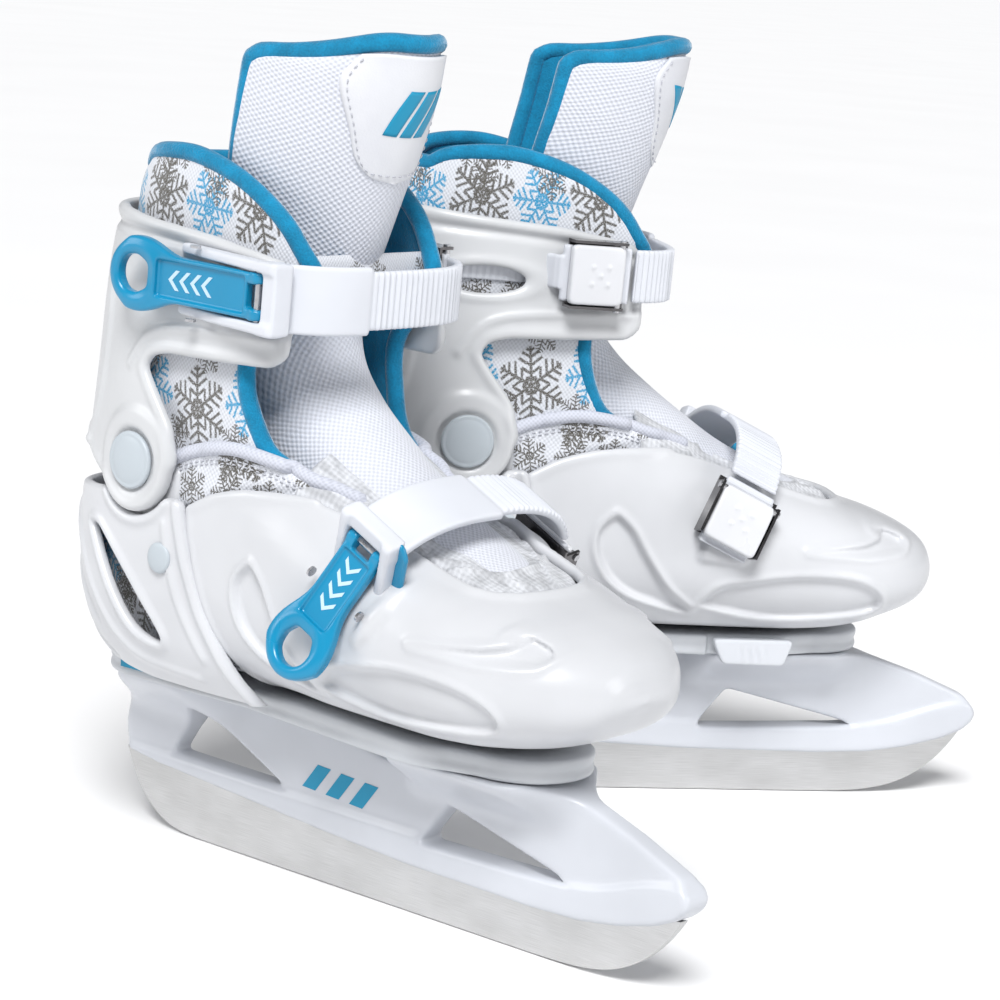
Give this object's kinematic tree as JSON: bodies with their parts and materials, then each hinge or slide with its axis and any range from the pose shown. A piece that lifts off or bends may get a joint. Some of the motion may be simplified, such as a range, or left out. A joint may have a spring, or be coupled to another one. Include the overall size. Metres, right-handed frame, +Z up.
{
  "type": "ice skates",
  "caption": "Pair of child's adjustable hard-shell ice skates with hinged cuffs, lever buckles, ratchet straps, padded liners and steel runners in open plastic holders.",
  "frame": {"origin": "middle of the flat running face of the right skate's blade", "axes": "+X towards the right skate's toe, +Y towards the left skate, +Z up from the ice"},
  "size_m": [0.2633, 0.3407, 0.281],
  "materials": {
    "runner_steel": "lengthwise brushed",
    "holder_plastic": "moulded semi-gloss",
    "sole_plastic": "moulded semi-gloss",
    "shell_plastic": "moulded semi-gloss",
    "cuff_plastic": "moulded semi-gloss",
    "rivet_plastic": "pale satin caps",
    "button_plastic": "moulded satin",
    "hardware": "plated",
    "dark_chrome": "dark plated",
    "lever_blue": "moulded gloss",
    "strap_plastic": "satin elastomer",
    "ladder_plastic": "satin elastomer",
    "cap_plastic": "moulded gloss",
    "printed_fabric": "woven with a printed crystal pattern",
    "tongue_fabric": "coarse weave with blue pile piping",
    "vamp_fabric": "crinkled mesh",
    "insole_fabric": "flat brushed fabric"
  },
  "bodies": {
    "right_base": {"right_blade": "runner_steel", "right_holder": "holder_plastic", "right_sole_plate": "sole_plastic", "right_sole_bolts": "hardware", "right_heel_shell": "shell_plastic", "right_rivets": "rivet_plastic", "right_insole": "insole_fabric", "right_liner_foot": "printed_fabric", "right_instep": "vamp_fabric"},
    "right_cuff": {"right_cuff": "cuff_plastic", "right_liner_collar": "printed_fabric", "right_tongue": "tongue_fabric", "right_upper_ladder": "ladder_plastic", "right_upper_catch": "lever_blue", "right_upper_ratchet_frame": "dark_chrome", "right_upper_ratchet_pin": "hardware"},
    "right_toe": {"right_toe_shell": "shell_plastic", "right_lower_ladder": "ladder_plastic", "right_lower_catch": "lever_blue", "right_lower_ratchet_frame": "dark_chrome", "right_lower_ratchet_pin": "hardware"},
    "right_button": {"right_size_button": "button_plastic"},
    "right_upper_strap": {"right_upper_strap": "strap_plastic", "right_upper_lever_pin": "hardware"},
    "right_upper_lever": {"right_upper_lever": "lever_blue"},
    "right_upper_cap": {"right_upper_ratchet_cap": "cap_plastic"},
    "right_lower_strap": {"right_lower_strap": "strap_plastic", "right_lower_lever_pin": "hardware"},
    "right_lower_lever": {"right_lower_lever": "lever_blue"},
    "right_lower_cap": {"right_lower_ratchet_cap": "cap_plastic"},
    "left_base": {"left_blade": "runner_steel", "left_holder": "holder_plastic", "left_sole_plate": "sole_plastic", "left_sole_bolts": "hardware", "left_heel_shell": "shell_plastic", "left_rivets": "rivet_plastic", "left_insole": "insole_fabric", "left_liner_foot": "printed_fabric", "left_instep": "vamp_fabric"},
    "left_cuff": {"left_cuff": "cuff_plastic", "left_liner_collar": "printed_fabric", "left_tongue": "tongue_fabric", "left_upper_ladder": "ladder_plastic", "left_upper_catch": "lever_blue", "left_upper_ratchet_frame": "dark_chrome", "left_upper_ratchet_pin": "hardware"},
    "left_toe": {"left_toe_shell": "shell_plastic", "left_lower_ladder": "ladder_plastic", "left_lower_catch": "lever_blue", "left_lower_ratchet_frame": "dark_chrome", "left_lower_ratchet_pin": "hardware"},
    "left_button": {"left_size_button": "button_plastic"},
    "left_upper_strap": {"left_upper_strap": "strap_plastic", "left_upper_lever_pin": "hardware"},
    "left_upper_lever": {"left_upper_lever": "lever_blue"},
    "left_upper_cap": {"left_upper_ratchet_cap": "cap_plastic"},
    "left_lower_strap": {"left_lower_strap": "strap_plastic", "left_lower_lever_pin": "hardware"},
    "left_lower_lever": {"left_lower_lever": "lever_blue"},
    "left_lower_cap": {"left_lower_ratchet_cap": "cap_plastic"}
  },
  "joints": [
    {"name": "right_cuff_flex", "type": "hinge", "parent": "right_base", "child": "right_cuff", "pos_m": [-0.069, 0, 0.137], "axis": [0, 1, 0], "range_deg": [-4, 10], "stiffness_Nm_per_rad": 6},
    {"name": "right_toe_extend", "type": "slide", "parent": "right_base", "child": "right_toe", "axis": [1, 0, 0], "range_m": [0, 0.012]},
    {"name": "right_button_press", "type": "slide", "parent": "right_base", "child": "right_button", "axis": [0, -1, 0], "range_m": [0, 0.0025], "stiffness_N_per_m": 600},
    {"name": "right_upper_strap_swing", "type": "hinge", "parent": "right_cuff", "child": "right_upper_strap", "pos_m": [-0.01303, 0.04156, 0.19736], "axis": [0.0349, 0, 0.9994], "range_deg": [0, 40]},
    {"name": "right_upper_lever_open", "type": "hinge", "parent": "right_upper_strap", "child": "right_upper_lever", "pos_m": [-0.01303, -0.0455, 0.19736], "axis": [0.0349, 0, 0.9994], "range_deg": [0, 100]},
    {"name": "right_upper_cap_open", "type": "hinge", "parent": "right_cuff", "child": "right_upper_cap", "pos_m": [-0.01931, 0.04706, 0.19758], "axis": [-0.0349, 0, -0.9994], "range_deg": [0, 28]},
    {"name": "right_lower_strap_swing", "type": "hinge", "parent": "right_toe", "child": "right_lower_strap", "pos_m": [0.03581, 0.04286, 0.12531], "axis": [-0.8988, 0, 0.4384], "range_deg": [0, 56]},
    {"name": "right_lower_lever_open", "type": "hinge", "parent": "right_lower_strap", "child": "right_lower_lever", "pos_m": [0.03647, -0.042, 0.12666], "axis": [-0.8988, 0, 0.4384], "range_deg": [0, 100]},
    {"name": "right_lower_cap_open", "type": "hinge", "parent": "right_toe", "child": "right_lower_cap", "pos_m": [0.03336, 0.04893, 0.12029], "axis": [0.8988, 0, -0.4384], "range_deg": [0, 28]},
    {"name": "left_cuff_flex", "type": "hinge", "parent": "left_base", "child": "left_cuff", "pos_m": [-0.07513, 0.1163, 0.137], "axis": [-0.7771, 0.6293, 0], "range_deg": [-4, 10], "stiffness_Nm_per_rad": 6},
    {"name": "left_toe_extend", "type": "slide", "parent": "left_base", "child": "left_toe", "axis": [0.6293, 0.7771, 0], "range_m": [0, 0.012]},
    {"name": "left_button_press", "type": "slide", "parent": "left_base", "child": "left_button", "axis": [-0.7771, 0.6293, 0], "range_m": [0, 0.0025], "stiffness_N_per_m": 600},
    {"name": "left_upper_strap_swing", "type": "hinge", "parent": "left_cuff", "child": "left_upper_strap", "pos_m": [-0.0076, 0.13364, 0.19736], "axis": [-0.022, -0.0271, -0.9994], "range_deg": [0, 40]},
    {"name": "left_upper_lever_open", "type": "hinge", "parent": "left_upper_strap", "child": "left_upper_lever", "pos_m": [-0.07526, 0.18843, 0.19736], "axis": [-0.022, -0.0271, -0.9994], "range_deg": [0, 100]},
    {"name": "left_upper_cap_open", "type": "hinge", "parent": "left_cuff", "child": "left_upper_cap", "pos_m": [-0.00728, 0.1253, 0.19758], "axis": [0.022, 0.0271, 0.9994], "range_deg": [0, 28]},
    {"name": "left_lower_strap_swing", "type": "hinge", "parent": "left_toe", "child": "left_lower_strap", "pos_m": [0.02414, 0.17078, 0.12531], "axis": [0.5656, 0.6985, -0.4384], "range_deg": [0, 56]},
    {"name": "left_lower_lever_open", "type": "hinge", "parent": "left_lower_strap", "child": "left_lower_lever", "pos_m": [-0.0414, 0.22469, 0.12666], "axis": [0.5656, 0.6985, -0.4384], "range_deg": [0, 100]},
    {"name": "left_lower_cap_open", "type": "hinge", "parent": "left_toe", "child": "left_lower_cap", "pos_m": [0.02731, 0.16505, 0.12029], "axis": [-0.5656, -0.6985, 0.4384], "range_deg": [0, 28]},
    {"name": "pair_spacing", "type": "slide", "parent": "right_base", "child": "left_base", "axis": [0, 1, 0], "range_m": [0, 0.15]}
  ]
}
